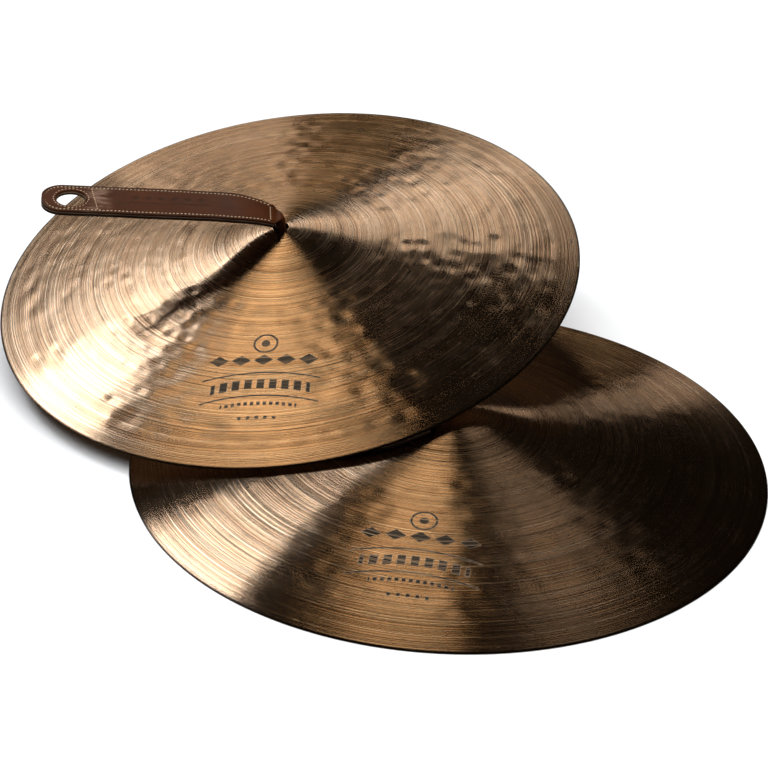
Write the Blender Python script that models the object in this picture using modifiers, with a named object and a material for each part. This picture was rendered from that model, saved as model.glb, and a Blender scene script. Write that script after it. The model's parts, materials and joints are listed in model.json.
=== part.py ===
"""A pair of 18 inch orchestral hand cymbals with stitched leather straps.

The lower cymbal lies flat, bell up. The upper one leans over it, its front edge above the
lower strap. Each strap is three layers sewn together, narrows to a thong that passes through
the hole in the bell, and is held inside the bell by a washer and a knot of its own four tails.
Metres, +Z up. The origin is the middle of the pair's footprint, on the surface it stands on.
"""
import math

import bmesh
import bpy
import numpy as np
from mathutils import Matrix, Quaternion, Vector

# Driving dimensions
RADIUS = 0.2286
HOLE_RADIUS = 0.006
BOW_RISE = 0.028
BELL_RADIUS = 0.061
BELL_TOP = 0.0405
BELL_FILLET = 0.003
RIM_THICKNESS = 0.0010
CENTRE_THICKNESS = 0.0018
LAND_WIDTH = 0.002
TURNED_STEPS = 56

# How the upper cymbal leans over the lower one
UPPER_OFFSET = Vector((-0.1247, 0.1663, 0.0656))
UPPER_AXIS = Vector((-0.1248, -0.1873, 0.9743)).normalized()

# Straps
STRAP_LENGTH = 0.1755
STRAP_HALF_WIDTH = 0.0187
NECK_HALF_WIDTH = 0.0135
NECK_TAPER = 0.038
END_CORNER = 0.015
THONG_HALF_WIDTH = 0.0048
GAP = 0.0003
BACK_THICKNESS = 0.0014
PAD_THICKNESS = 0.0008
FACE_THICKNESS = 0.0013
NECK_THICKNESS = 0.0026
THREAD_RADIUS = 0.00035
STITCH_INSET = 0.0032
EYE_RADIUS = 0.011
EYE_FROM_END = 0.022
EYE_CROSS_FROM_END = 0.0395
EYE_CROSS_SLANT = 0.0025

# The upper strap bends over out of the bell and stands out stiffly, nearly level
UPPER_STRAP_HEADING = math.radians(188)
UPPER_STRAP_SLOPE = math.radians(4.6)
UPPER_STRAP_ROLL = math.radians(8.5)
UPPER_BEND_LENGTH = 0.060
UPPER_SEAM_SLOPE = math.radians(23)
HINGE_ABOVE_BELL = 0.0035
UPPER_NECK_LENGTH = 0.0065
UPPER_NECK_START = math.radians(60)

# The lower strap lies on its cymbal, its route curving back under the upper one
LOWER_NECK_END = Vector((-0.0165, -0.0175))
LOWER_STRAP_HEADING = math.radians(192)
LOWER_STRAP_TURN = math.radians(-27)
LAY_GAP = 0.0006
LOWER_NECK_LENGTH = LOWER_NECK_END.length

# Inside the bell
WASHER_RADIUS = 0.016
WASHER_THICKNESS = 0.0025
KNOT_HALF = 0.010
KNOT_HEIGHT = 0.009
TAIL_LENGTH = 0.030
TAIL_HALF_WIDTH = 0.005
TAIL_THICKNESS = 0.0026

BRONZE = ("bronze", (0.62, 0.40, 0.22, 1), 0.25, 1.0)
LEATHER = ("leather", (0.12, 0.035, 0.012, 1), 0.45, 0.0)
DARK_LEATHER = ("dark_leather", (0.035, 0.014, 0.007, 1), 0.6, 0.0)
FELT = ("felt", (0.45, 0.36, 0.25, 1), 0.9, 0.0)
THREAD = ("thread", (0.55, 0.40, 0.24, 1), 0.7, 0.0)


def clear_scene():
    for thing in list(bpy.data.objects):
        bpy.data.objects.remove(thing, do_unlink=True)


def new_collection(name):
    collection = bpy.data.collections.new(name)
    bpy.context.scene.collection.children.link(collection)
    return collection


def material(recipe):
    """The named Principled material, made on first use."""
    name, colour, roughness, metallic = recipe
    found = bpy.data.materials.get(name)
    if found:
        return found
    made = bpy.data.materials.new(name)
    made.use_nodes = True
    shader = made.node_tree.nodes["Principled BSDF"]
    shader.inputs["Base Color"].default_value = colour
    shader.inputs["Roughness"].default_value = roughness
    shader.inputs["Metallic"].default_value = metallic
    return made


def add_object(name, data, collection, parent, recipe=None):
    thing = bpy.data.objects.new(name, data)
    collection.objects.link(thing)
    thing.parent = parent
    if recipe:
        data.materials.append(material(recipe))
    return thing


def add_empty(name, location, parent=None, rotation=None):
    empty = bpy.data.objects.new(name, None)
    PARTS.objects.link(empty)
    empty.parent = parent
    empty.location = location
    empty.rotation_mode = "QUATERNION"
    if rotation:
        empty.rotation_quaternion = rotation
    return empty


def smooth_shade(mesh, angle=math.radians(35)):
    mesh.shade_smooth()
    mesh.set_sharp_from_angle(angle=angle)


# ---- Cymbal ----

def outer_height(distance):
    """Height of the outer face over the rim's underside, at a distance from the axis."""
    bow = BOW_RISE * (1 - (distance / RADIUS) ** 2)
    foot = BOW_RISE * (1 - (BELL_RADIUS / RADIUS) ** 2)
    swell = BELL_TOP - foot
    if distance < BELL_RADIUS:
        bell = foot + swell * math.cos(0.5 * math.pi * distance / BELL_RADIUS)
    else:
        bell = foot - swell * 0.5 * math.pi * (distance / BELL_RADIUS - 1)
    return RIM_THICKNESS + 0.5 * (bow + bell + math.hypot(bow - bell, BELL_FILLET))


def wall_thickness(distance):
    """The plate thins evenly from the hole to the rim."""
    return RIM_THICKNESS + (CENTRE_THICKNESS - RIM_THICKNESS) * (1 - distance / RADIUS)


def cymbal_distances():
    """Distances from the axis at which the turned outline has a point."""
    bell = np.linspace(HOLE_RADIUS, 0.75 * BELL_RADIUS, 5)
    foot = np.linspace(0.85 * BELL_RADIUS, 1.2 * BELL_RADIUS, 5)
    bow = np.linspace(1.45 * BELL_RADIUS, RADIUS - 2 * LAND_WIDTH, 4)
    return [float(distance) for part in (bell, foot, bow) for distance in part]


def cymbal(name, parent):
    """A turned plate with a flat land under its rim, closed round the hole."""
    distances = cymbal_distances()
    outline = [(distance, outer_height(distance)) for distance in distances]
    outline += [(RADIUS, RIM_THICKNESS), (RADIUS, 0), (RADIUS - LAND_WIDTH, 0)]
    for distance in reversed(distances):
        outline.append((distance, outer_height(distance) - wall_thickness(distance)))
    mesh = bpy.data.meshes.new(name)
    count = len(outline)
    edges = [(index, (index + 1) % count) for index in range(count)]
    mesh.from_pydata([(distance, 0, height) for distance, height in outline], edges, [])
    plate = add_object(name, mesh, PARTS, parent, BRONZE)
    screw = plate.modifiers.new("Turned", "SCREW")
    screw.steps = TURNED_STEPS
    screw.render_steps = TURNED_STEPS
    screw.use_merge_vertices = True
    screw.merge_threshold = 0.00001
    screw.use_smooth_shade = True
    return plate


# ---- Where a strap's leather runs ----
# A route gives the point at a distance along the strap from its narrow seam, a distance
# across it, and a lift off its underside. Negative distances along are on the neck.

def upper_slope(distance):
    """The strap's slope: steep out of the hole, less at the seam, easing off along the bend."""
    if distance < 0:
        share = 1 + distance / UPPER_NECK_LENGTH
        return UPPER_NECK_START + (UPPER_SEAM_SLOPE - UPPER_NECK_START) * share
    left = max(0.0, 1 - distance / UPPER_BEND_LENGTH)
    return UPPER_STRAP_SLOPE + (UPPER_SEAM_SLOPE - UPPER_STRAP_SLOPE) * left ** 2


def upper_route():
    """A neck that turns out of the hole, a bend, then a straight run, in the hinge's frame."""
    steps = 80
    stops = np.linspace(-UPPER_NECK_LENGTH, UPPER_BEND_LENGTH, steps + 1)
    step = float(stops[1] - stops[0])
    slopes = [upper_slope(float(stop) + step / 2) for stop in stops[:-1]]
    out = NECK_THICKNESS / 2 + np.concatenate([[0], np.cumsum(np.cos(slopes)) * step])
    up = np.concatenate([[0], np.cumsum(np.sin(slopes)) * step])

    def place(distance, across, lift):
        slope = upper_slope(distance)
        past = max(0.0, distance - UPPER_BEND_LENGTH)
        x = float(np.interp(distance, stops, out)) + past * math.cos(slope)
        z = float(np.interp(distance, stops, up)) + past * math.sin(slope)
        roll = UPPER_STRAP_ROLL * min(1.0, max(0.0, 1 + distance / UPPER_NECK_LENGTH))
        over = lift * math.cos(roll) - across * math.sin(roll)
        side = across * math.cos(roll) + lift * math.sin(roll)
        return Vector((x - over * math.sin(slope), side, z + over * math.cos(slope)))

    return place


def lower_route():
    """A strip laid on the cymbal's outer face, in the cymbal's frame."""

    def ground(distance):
        """Plan position and heading of the strap's middle line."""
        if distance < 0:
            share = 1 + distance / LOWER_NECK_LENGTH
            start = math.atan2(LOWER_NECK_END.y, LOWER_NECK_END.x) % (2 * math.pi)
            eased = max(0.0, share) ** 2 * (3 - 2 * share)
            heading = start + (LOWER_STRAP_HEADING - start) * eased
            return LOWER_NECK_END * share, heading
        bend = LOWER_STRAP_TURN / STRAP_LENGTH
        heading = LOWER_STRAP_HEADING + bend * distance
        start = LOWER_STRAP_HEADING
        x = LOWER_NECK_END.x + (math.sin(heading) - math.sin(start)) / bend
        y = LOWER_NECK_END.y - (math.cos(heading) - math.cos(start)) / bend
        return Vector((x, y)), heading

    def place(distance, across, lift):
        middle, heading = ground(distance)
        x = middle.x - across * math.sin(heading)
        y = middle.y + across * math.cos(heading)
        return Vector((x, y, outer_height(math.hypot(x, y)) + LAY_GAP + lift))

    return place


def strap_half_width(distance):
    """Half the strap's width: it narrows towards the neck and has round corners at its end."""
    share = min(1.0, max(0.0, distance / NECK_TAPER))
    width = NECK_HALF_WIDTH + (STRAP_HALF_WIDTH - NECK_HALF_WIDTH) * math.sin(share * math.pi / 2)
    past = distance - (STRAP_LENGTH - END_CORNER)
    if past > 0:
        width -= END_CORNER - math.sqrt(max(0.0, END_CORNER ** 2 - past ** 2))
    return width


def neck_half_width(neck_length):
    """Half the neck's width, from the thong's at the hole to the strap's at the seam."""

    def width(distance):
        share = max(0.0, distance / neck_length + 1)
        return THONG_HALF_WIDTH + (NECK_HALF_WIDTH - 0.001 - THONG_HALF_WIDTH) * share ** 1.5

    return width


# ---- Leather, pad and thread ----

def strip(name, recipe, parent, place, span, half_width, lift, thickness, cuts, ease=True):
    """A sheet laid along a route between two distances, then thickened."""
    mesh = bpy.data.meshes.new(name)
    sheet = bmesh.new()
    bmesh.ops.create_grid(sheet, x_segments=cuts, y_segments=4, size=1)
    start, end = span
    for vert in sheet.verts:
        share = (vert.co.x + 1) / 2
        if ease:
            share = math.sin(share * math.pi / 2)
        distance = start + (end - start) * share
        vert.co = place(distance, vert.co.y * half_width(distance), lift + thickness / 2)
    sheet.to_mesh(mesh)
    sheet.free()
    piece = add_object(name, mesh, PARTS, parent, recipe)
    solid = piece.modifiers.new("Thickness", "SOLIDIFY")
    solid.thickness = thickness
    solid.offset = 0
    solid.use_even_offset = True
    return piece


def cut_eye(piece, parent, place):
    """The round finger hole near the strap's end."""
    distance = STRAP_LENGTH - EYE_FROM_END
    middle = place(distance, 0, 0)
    normal = (place(distance, 0, 0.001) - middle).normalized()
    mesh = bpy.data.meshes.new(piece.name + "_eye")
    shape = bmesh.new()
    bmesh.ops.create_cone(shape, cap_ends=True, segments=28, radius1=EYE_RADIUS,
                          radius2=EYE_RADIUS, depth=0.02)
    shape.to_mesh(mesh)
    shape.free()
    cutter = add_object(piece.name + "_eye", mesh, CUTTERS, parent)
    cutter.location = middle
    cutter.rotation_mode = "QUATERNION"
    cutter.rotation_quaternion = Vector((0, 0, 1)).rotation_difference(normal)
    cutter.hide_render = True
    cutter.display_type = "WIRE"
    cut = piece.modifiers.new("Finger hole", "BOOLEAN")
    cut.operation = "DIFFERENCE"
    cut.object = cutter


def thread(name, parent, points, closed=False):
    """A run of sewing thread along some points."""
    data = bpy.data.curves.new(name, "CURVE")
    data.dimensions = "3D"
    data.bevel_depth = THREAD_RADIUS
    data.bevel_resolution = 1
    data.use_fill_caps = True
    spline = data.splines.new("POLY")
    spline.points.add(len(points) - 1)
    for point, place in zip(spline.points, points):
        point.co = (*place, 1)
    spline.use_cyclic_u = closed
    return add_object(name, data, PARTS, parent, THREAD)


def edge_points(place, lift):
    """Round the strap's edge, from one side of the narrow seam to the other."""
    turn = STRAP_LENGTH - END_CORNER
    along = [float(value) for value in np.linspace(STITCH_INSET, turn, 20)]
    route = [(value, strap_half_width(value) - STITCH_INSET) for value in along]
    inset = END_CORNER - STITCH_INSET
    for angle in np.linspace(75, 0, 6):
        bearing = math.radians(float(angle))
        across = STRAP_HALF_WIDTH - END_CORNER + inset * math.sin(bearing)
        route.append((turn + inset * math.cos(bearing), across))
    route += [(value, -across) for value, across in reversed(route)]
    return [place(distance, across, lift) for distance, across in route]


def cross_points(place, lift, distance, half_length, slant=0.0):
    """Straight across the strap, or slanting a little."""
    route = []
    for across in np.linspace(-half_length, half_length, 5):
        along = distance - slant * float(across) / half_length
        route.append(place(along, float(across), lift))
    return route


def eye_points(place, lift):
    """Round the finger hole."""
    ring = EYE_RADIUS + 0.0022
    middle = STRAP_LENGTH - EYE_FROM_END
    angles = [2 * math.pi * index / 24 for index in range(24)]
    return [place(middle + ring * math.cos(a), ring * math.sin(a), lift) for a in angles]


def strap(side, parent, place, neck_length, neck_start):
    """The sewn strap: back, pad and face, the neck, and four runs of thread."""
    ends = (0, STRAP_LENGTH)
    layers = (("back", DARK_LEATHER, BACK_THICKNESS), ("pad", FELT, PAD_THICKNESS),
              ("face", LEATHER, FACE_THICKNESS))
    lift = 0.0
    for layer, recipe, thickness in layers:
        piece = strip(f"{side}_strap_{layer}", recipe, parent, place, ends, strap_half_width,
                      lift, thickness, 17)
        cut_eye(piece, parent, place)
        lift += thickness + GAP
    neck_span = (neck_start - neck_length, -2 * GAP)
    strip(f"{side}_strap_neck", LEATHER, parent, place, neck_span, neck_half_width(neck_length),
          0, NECK_THICKNESS, 8, ease=False)
    lift += THREAD_RADIUS
    seam = NECK_HALF_WIDTH - STITCH_INSET - 3 * THREAD_RADIUS
    eye_seam = STRAP_HALF_WIDTH - STITCH_INSET - 3 * THREAD_RADIUS
    eye_cross = STRAP_LENGTH - EYE_CROSS_FROM_END
    thread(f"{side}_edge_thread", parent, edge_points(place, lift))
    thread(f"{side}_eye_thread", parent, eye_points(place, lift), closed=True)
    slanting = cross_points(place, lift, eye_cross, eye_seam, EYE_CROSS_SLANT)
    thread(f"{side}_eye_cross_thread", parent, slanting)
    thread(f"{side}_neck_cross_thread", parent, cross_points(place, lift, STITCH_INSET, seam))


# ---- Inside the bell ----

def box(name, collection, parent, size, location, recipe=None, turn=0.0):
    mesh = bpy.data.meshes.new(name)
    shape = bmesh.new()
    bmesh.ops.create_cube(shape, size=1)
    bmesh.ops.scale(shape, vec=Vector(size), verts=shape.verts)
    shape.to_mesh(mesh)
    shape.free()
    piece = add_object(name, mesh, collection, parent, recipe)
    piece.matrix_local = Matrix.Rotation(turn, 4, "Z") @ Matrix.Translation(Vector(location))
    return piece


def join(piece, other):
    """Make another shape part of a piece."""
    other.hide_render = True
    other.display_type = "WIRE"
    union = piece.modifiers.new("Join", "BOOLEAN")
    union.operation = "UNION"
    union.object = other


def washer(name, parent, top):
    """A leather disc under the bell, with a hole for the thong."""
    mesh = bpy.data.meshes.new(name)
    hole = HOLE_RADIUS + 0.0005
    low = top - WASHER_THICKNESS
    outline = [(hole, top), (WASHER_RADIUS, top), (WASHER_RADIUS, low), (hole, low)]
    edges = [(0, 1), (1, 2), (2, 3), (3, 0)]
    mesh.from_pydata([(distance, 0, height) for distance, height in outline], edges, [])
    disc = add_object(name, mesh, PARTS, parent, DARK_LEATHER)
    screw = disc.modifiers.new("Turned", "SCREW")
    screw.steps = 32
    screw.render_steps = 32
    screw.use_merge_vertices = True
    screw.merge_threshold = 0.00001
    return disc


def knot(name, parent, top):
    """Four flat tails folded over each other like a pinwheel, their ends hanging out."""
    middle = top - KNOT_HEIGHT / 2
    body = box(name, PARTS, parent, (2 * KNOT_HALF, 2 * KNOT_HALF, KNOT_HEIGHT),
               (0, 0, middle), LEATHER)
    bevel = body.modifiers.new("Rounded", "BEVEL")
    bevel.width = 0.0025
    bevel.segments = 2
    size = (TAIL_LENGTH, 2 * TAIL_HALF_WIDTH, TAIL_THICKNESS)
    for index in range(4):
        height = middle + (index - 1.5) * 0.0004
        place = (0.4 * TAIL_LENGTH, KNOT_HALF - TAIL_HALF_WIDTH - 0.0006, height)
        tail = box(f"{name}_tail_{index}", CUTTERS, parent, size, place, None, index * math.pi / 2)
        join(body, tail)
    return body


def bell_fixing(side, parent, thong_top, turn):
    """Thong, washer and knot, which turn together in the hole."""
    ceiling = outer_height(WASHER_RADIUS) - wall_thickness(WASHER_RADIUS)
    washer_top = ceiling - GAP
    knot_top = washer_top - WASHER_THICKNESS - GAP
    washer(f"{side}_knot_washer", parent, washer_top)
    knot(f"{side}_knot", parent, knot_top)
    low = knot_top + GAP
    size = (0.0028, 2 * THONG_HALF_WIDTH, thong_top - low)
    thong = box(f"{side}_thong", PARTS, parent, size, (0, 0, (thong_top + low) / 2), LEATHER, turn)
    bevel = thong.modifiers.new("Rounded", "BEVEL")
    bevel.width = 0.0006
    bevel.segments = 2


# ---- The pair ----

clear_scene()
PARTS = new_collection("hand_cymbals")
CUTTERS = new_collection("cutters")

REACH = [RADIUS * math.sqrt(1 - UPPER_AXIS[axis] ** 2) for axis in (0, 1)]
LOWER_X = -0.5 * (RADIUS + UPPER_OFFSET.x - REACH[0])
LOWER_Y = -0.5 * (UPPER_OFFSET.y + REACH[1] - RADIUS)
LEAN = Vector((0, 0, 1)).rotation_difference(UPPER_AXIS)
HEADING_TURN = Quaternion((0, 0, 1), UPPER_STRAP_HEADING)
LOCAL_HEADING = LEAN.inverted() @ (HEADING_TURN @ Vector((1, 0, 0)))
THONG_TURN = math.atan2(LOCAL_HEADING.y, LOCAL_HEADING.x)
BELL_PEAK = outer_height(HOLE_RADIUS)

lower_axis = add_empty("lower_axis", (LOWER_X, LOWER_Y, 0))
cymbal("lower_cymbal", lower_axis)
bell_fixing("lower", lower_axis, BELL_PEAK, math.atan2(LOWER_NECK_END.y, LOWER_NECK_END.x))
strap("lower", lower_axis, lower_route(), LOWER_NECK_LENGTH, -0.004)

upper_axis = add_empty("upper_axis", lower_axis.location + UPPER_OFFSET, None, LEAN)
cymbal("upper_cymbal", upper_axis)
HINGE_HEIGHT = BELL_PEAK + HINGE_ABOVE_BELL
THONG_TOP = HINGE_HEIGHT - NECK_THICKNESS / 2 - 2 * GAP
bell_fixing("upper", upper_axis, THONG_TOP, THONG_TURN)
HINGE_TURN = LEAN.inverted() @ HEADING_TURN
upper_hinge = add_empty("upper_strap_hinge", (0, 0, HINGE_HEIGHT), upper_axis, HINGE_TURN)
strap("upper", upper_hinge, upper_route(), UPPER_NECK_LENGTH, 0.0004)
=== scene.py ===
"""The looks of a pair of 18 inch orchestral hand cymbals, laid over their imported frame.

The two plates are turned meshes with lathe grooves and hammer marks. Each strap is a dark
back, a pale stiffener and a brown face that narrows to the thong in the bell's hole, with
every stitch its own piece of thread. A washer and a knot of four tails sit inside each bell.
Everything is in metres. The camera comes first.
"""

import json
import math

import bmesh
import bpy
import numpy as np
from mathutils import Matrix, Quaternion, Vector

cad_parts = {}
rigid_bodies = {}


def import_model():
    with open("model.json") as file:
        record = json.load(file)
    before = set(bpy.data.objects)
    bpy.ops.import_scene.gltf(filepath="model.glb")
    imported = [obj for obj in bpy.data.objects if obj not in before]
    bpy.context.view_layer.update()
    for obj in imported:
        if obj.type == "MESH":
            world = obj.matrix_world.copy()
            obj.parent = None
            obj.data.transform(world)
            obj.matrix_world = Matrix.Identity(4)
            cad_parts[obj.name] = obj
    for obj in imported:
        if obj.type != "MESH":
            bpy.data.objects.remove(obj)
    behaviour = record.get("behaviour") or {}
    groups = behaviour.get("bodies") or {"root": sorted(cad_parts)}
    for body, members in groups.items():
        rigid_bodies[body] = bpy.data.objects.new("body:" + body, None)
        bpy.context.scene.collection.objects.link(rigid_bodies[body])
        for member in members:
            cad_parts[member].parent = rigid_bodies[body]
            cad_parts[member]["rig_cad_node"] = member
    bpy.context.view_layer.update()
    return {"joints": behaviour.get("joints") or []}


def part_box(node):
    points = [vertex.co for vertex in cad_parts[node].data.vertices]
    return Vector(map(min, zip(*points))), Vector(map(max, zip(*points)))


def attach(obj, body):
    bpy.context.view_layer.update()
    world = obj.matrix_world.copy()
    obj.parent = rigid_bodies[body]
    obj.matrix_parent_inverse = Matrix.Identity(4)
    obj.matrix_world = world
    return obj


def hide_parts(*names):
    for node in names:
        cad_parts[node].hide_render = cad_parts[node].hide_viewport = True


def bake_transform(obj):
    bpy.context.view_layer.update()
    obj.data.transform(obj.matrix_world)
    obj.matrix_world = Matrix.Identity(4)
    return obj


# ---- The cymbal, as the CAD has it ----
RADIUS = 0.2286
HOLE_RADIUS = 0.006
BOW_RISE = 0.028
BELL_RADIUS = 0.061
BELL_TOP = 0.0405
BELL_FILLET = 0.003
RIM_THICKNESS = 0.0010
CENTRE_THICKNESS = 0.0018
LAND_WIDTH = 0.002

# ---- The straps, as the CAD has them ----
STRAP_LENGTH = 0.1755
STRAP_HALF_WIDTH = 0.0187
NECK_HALF_WIDTH = 0.0135
NECK_TAPER = 0.038
END_CORNER = 0.015
THONG_HALF_WIDTH = 0.0048
GAP = 0.0003
BACK_THICKNESS = 0.0014
PAD_THICKNESS = 0.0008
FACE_THICKNESS = 0.0013
NECK_THICKNESS = 0.0026
STITCH_INSET = 0.0032
EYE_RADIUS = 0.011
EYE_FROM_END = 0.022
EYE_CROSS_FROM_END = 0.0395
EYE_CROSS_SLANT = 0.0025
UPPER_STRAP_HEADING = math.radians(188)
UPPER_STRAP_SLOPE = math.radians(4.6)
UPPER_STRAP_ROLL = math.radians(8.5)
UPPER_BEND_LENGTH = 0.060
UPPER_SEAM_SLOPE = math.radians(23)
UPPER_NECK_LENGTH = 0.0065
UPPER_NECK_START = math.radians(60)
UPPER_AXIS_PIVOT = 0.040
LOWER_NECK_END = Vector((-0.0165, -0.0175))
LOWER_STRAP_HEADING = math.radians(192)
LOWER_STRAP_TURN = math.radians(-27)
LAY_GAP = 0.0006
LOWER_NECK_LENGTH = LOWER_NECK_END.length
WASHER_RADIUS = 0.016
WASHER_THICKNESS = 0.0025
KNOT_HEIGHT = 0.009

# ---- What the looks add to the straps ----
NECK_BULK = 0.0066
SHOULDER = 0.0009
LOWER_WAVE = 0.00008
UPPER_WAVE = 0.00022
PAD_TRIM = 0.0008
FACE_CROWN = 0.00028
SEAM_DEPTH = 0.00030
EYE_SEGMENTS = 72
EYE_SEAM_RADIUS = EYE_RADIUS + 0.0022
STITCH_PITCH = 0.0029
STITCH_SIZE = (0.00096, 0.00044, 0.00040)
STITCH_SLANT = 0.16

# ---- What the looks add to the plates ----
LATHE_DEPTH = 0.000050
UNDER_LATHE_DEPTH = 0.000035
UNDER_DENT = 0.00015
LOWER_DENT = 0.00020
UPPER_DENT = 0.00048
GROOVE_WIDTHS = (0.0011, 0.0034)
GROOVE_STEPS = (0.0008, 0.0052)
HAMMER_FIRST_RING = 0.083
HAMMER_PITCH = 0.0135
HAMMER_WIDTHS = (0.0030, 0.0046)
HAMMER_RING_STEPS = (0.0125, 0.0150)
LOWER_PRINT_TURN = math.radians(-9)
UPPER_PRINT_TURN = math.radians(-4)

# ---- Fineness of the meshes ----
SEGMENTS = 300
TOP_RINGS = 230
UNDER_RINGS = 80

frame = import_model()


# ---- Camera, lights and floor ----

LENS = 82.03
SENSOR_WIDTH = 36.0
CAMERA_PLACE = (0.0142, -1.1581, 0.6709)
CAMERA_DOWN = 29.61
CAMERA_ROLL = 1.412


def make_camera():
    data = bpy.data.cameras.new("camera")
    data.lens = LENS
    data.sensor_width = SENSOR_WIDTH
    camera = bpy.data.objects.new("camera", data)
    bpy.context.scene.collection.objects.link(camera)
    pitch = Matrix.Rotation(math.radians(90 - CAMERA_DOWN), 4, "X")
    roll = Matrix.Rotation(math.radians(CAMERA_ROLL), 4, "Z")
    camera.matrix_world = Matrix.Translation(CAMERA_PLACE) @ pitch @ roll
    bpy.context.scene.camera = camera


LAMP_DISTANCE = 3.0
WHITE = (0.94, 0.97, 1.03)
PALE = (1.0, 0.95, 0.90)
TAN = (1.0, 0.88, 0.76)
WARM = (1.0, 0.79, 0.53)
FILL = (0.98, 0.99, 1.0)
# Name, bearing from +X and height in degrees, width and height in metres, radiance, colour
UPPER_BOXES = (
    ("left_box", 129, 43, 0.70, 0.75, 3.4, WHITE),
    ("left_high_box", 150, 43, 0.50, 0.80, 8.0, WHITE),
    ("left_low_box", 118, 36, 0.45, 0.55, 1.5, PALE),
    ("overhead_box", 132, 65, 1.05, 1.00, 2.1, WARM),
    ("right_box", 87, 41, 0.50, 0.82, 1.8, PALE),
    ("back_box", 107, 22, 0.72, 0.62, 1.5, TAN))
LOWER_BOXES = (
    ("left_box", 142, 46, 0.60, 1.20, 9.5, WHITE),
    ("overhead_box", 91, 53, 0.44, 1.00, 1.8, WARM),
    ("second_box", 71, 49, 0.30, 0.70, 0.8, TAN),
    ("right_back_box", 69, 16, 0.26, 0.36, 1.0, TAN))


def softbox(name, bearing, height, size, radiance, colour, glossy=True):
    """A rectangular lamp facing the middle of the pair. Its power comes from its radiance."""
    data = bpy.data.lights.new(name, "AREA")
    data.shape = "RECTANGLE"
    data.size = size[0]
    data.size_y = size[1]
    data.energy = radiance * size[0] * size[1] * math.pi
    data.color = colour
    lamp = bpy.data.objects.new(name, data)
    bpy.context.scene.collection.objects.link(lamp)
    level = math.cos(math.radians(height))
    away = Vector((level * math.cos(math.radians(bearing)), level * math.sin(math.radians(bearing)),
                   math.sin(math.radians(height))))
    lamp.location = away * LAMP_DISTANCE
    lamp.rotation_mode = "QUATERNION"
    lamp.rotation_quaternion = away.to_track_quat("Z", "Y")
    lamp.visible_camera = False
    lamp.visible_glossy = glossy
    return lamp


def make_lights():
    """A fill that reaches everything, and softboxes that will each be kept to one cymbal."""
    softbox("floor_fill", -60, 78, (4.0, 4.0), 3.3, FILL, glossy=False)
    lamps = {}
    for side, boxes in (("upper", UPPER_BOXES), ("lower", LOWER_BOXES)):
        lamps[side] = [softbox(f"{side}_{name}", bearing, height, (wide, tall), radiance, colour)
                       for name, bearing, height, wide, tall, radiance, colour in boxes]
    return lamps


def light_only(lamp, things):
    """Flag a lamp so that it reaches only these things."""
    group = bpy.data.collections.new(lamp.name + "_reaches")
    for thing in things:
        group.objects.link(thing)
    lamp.light_linking.receiver_collection = group


WORLD_PALE = (0.95, 0.95, 0.95, 1)
WORLD_ABOVE = (0.006, 0.005, 0.004, 1)
WORLD_BELOW = (0.090, 0.080, 0.070, 1)


def make_world():
    """Pale to look at. What the metal reflects is nearly dark above and dim below."""
    world = bpy.data.worlds.new("studio")
    bpy.context.scene.world = world
    world.use_nodes = True
    nodes = world.node_tree.nodes
    links = world.node_tree.links
    nodes.clear()
    output = nodes.new("ShaderNodeOutputWorld")
    pale = nodes.new("ShaderNodeBackground")
    pale.inputs["Color"].default_value = WORLD_PALE
    dark = nodes.new("ShaderNodeBackground")
    way = nodes.new("ShaderNodeSeparateXYZ")
    share = nodes.new("ShaderNodeMapRange")
    share.inputs["From Min"].default_value = 0.0
    share.inputs["From Max"].default_value = -0.25
    tone = nodes.new("ShaderNodeMix")
    tone.data_type = "RGBA"
    tone.inputs[6].default_value = WORLD_ABOVE
    tone.inputs[7].default_value = WORLD_BELOW
    path = nodes.new("ShaderNodeLightPath")
    mix = nodes.new("ShaderNodeMixShader")
    links.new(nodes.new("ShaderNodeTexCoord").outputs["Generated"], way.inputs["Vector"])
    links.new(way.outputs["Z"], share.inputs["Value"])
    links.new(share.outputs["Result"], tone.inputs[0])
    links.new(tone.outputs[2], dark.inputs["Color"])
    links.new(path.outputs["Is Camera Ray"], mix.inputs["Fac"])
    links.new(dark.outputs["Background"], mix.inputs[1])
    links.new(pale.outputs["Background"], mix.inputs[2])
    links.new(mix.outputs["Shader"], output.inputs["Surface"])
    bpy.context.scene.view_settings.view_transform = "Standard"


# ---- Materials ----

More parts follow.
